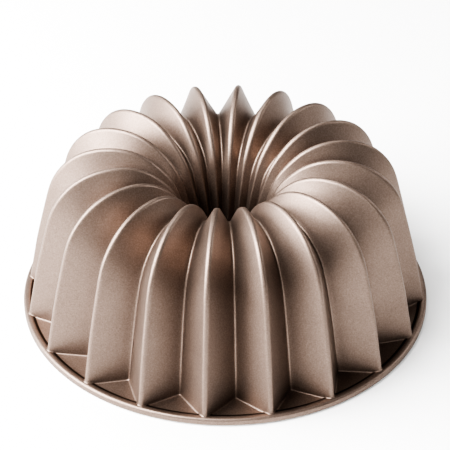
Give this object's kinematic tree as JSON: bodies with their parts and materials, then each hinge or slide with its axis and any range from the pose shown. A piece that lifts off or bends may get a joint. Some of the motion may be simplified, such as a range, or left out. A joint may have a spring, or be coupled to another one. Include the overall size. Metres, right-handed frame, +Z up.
{
  "type": "bundt pan",
  "caption": "Cast bundt cake pan with pleated walls, a tapered centre tube and a flat beaded rim, standing crown up on its rim.",
  "frame": {"origin": "centre of the pan's axis on the table plane, under the rim", "axes": "+Z up the tube axis through the crown; ridges of two pleats point along +X and -X, two along +Y and -Y"},
  "size_m": [0.26, 0.26, 0.107],
  "materials": {
    "casting": "bare cast aluminium on the resting face and the tube end",
    "lining": "satin release lining",
    "coat": "satin metallic rose-brown baked coat"
  },
  "bodies": {
    "root": {"cast_body": "casting", "nonstick_lining": "lining", "outer_coat": "coat"}
  },
  "joints": []
}
